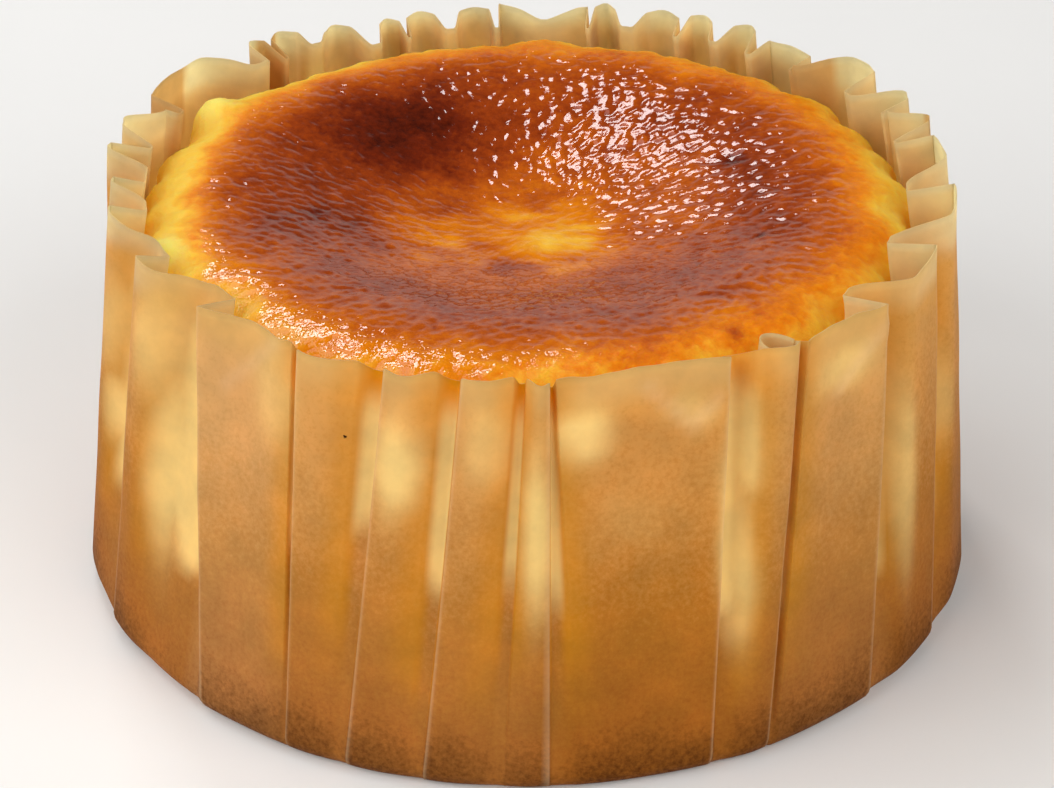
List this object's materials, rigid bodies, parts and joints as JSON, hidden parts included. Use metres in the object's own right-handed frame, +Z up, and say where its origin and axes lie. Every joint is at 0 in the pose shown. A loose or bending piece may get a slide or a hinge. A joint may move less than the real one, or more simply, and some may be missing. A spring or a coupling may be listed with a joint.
{
  "type": "burnt cheesecake in a paper case",
  "caption": "Round burnt-top cheesecake with a sunken browned top and a rounded shoulder, standing in a pleated baking-paper case.",
  "frame": {"origin": "middle of the paper case's flat underside, on the surface that the cake stands on", "axes": "+Z up through the middle of the cake, -Y towards the side that the picture shows, +X to its right"},
  "size_m": [0.1081, 0.1082, 0.0519],
  "materials": {
    "browned_cake": "baked cheesecake: caramel-brown oily crust on top, pale yellow crumb at the edge",
    "baking_paper": "thin tan baking paper, slightly waxy, letting the cake show through where they touch"
  },
  "bodies": {
    "root": {"cheesecake": "browned_cake", "paper_case": "baking_paper"}
  },
  "joints": []
}
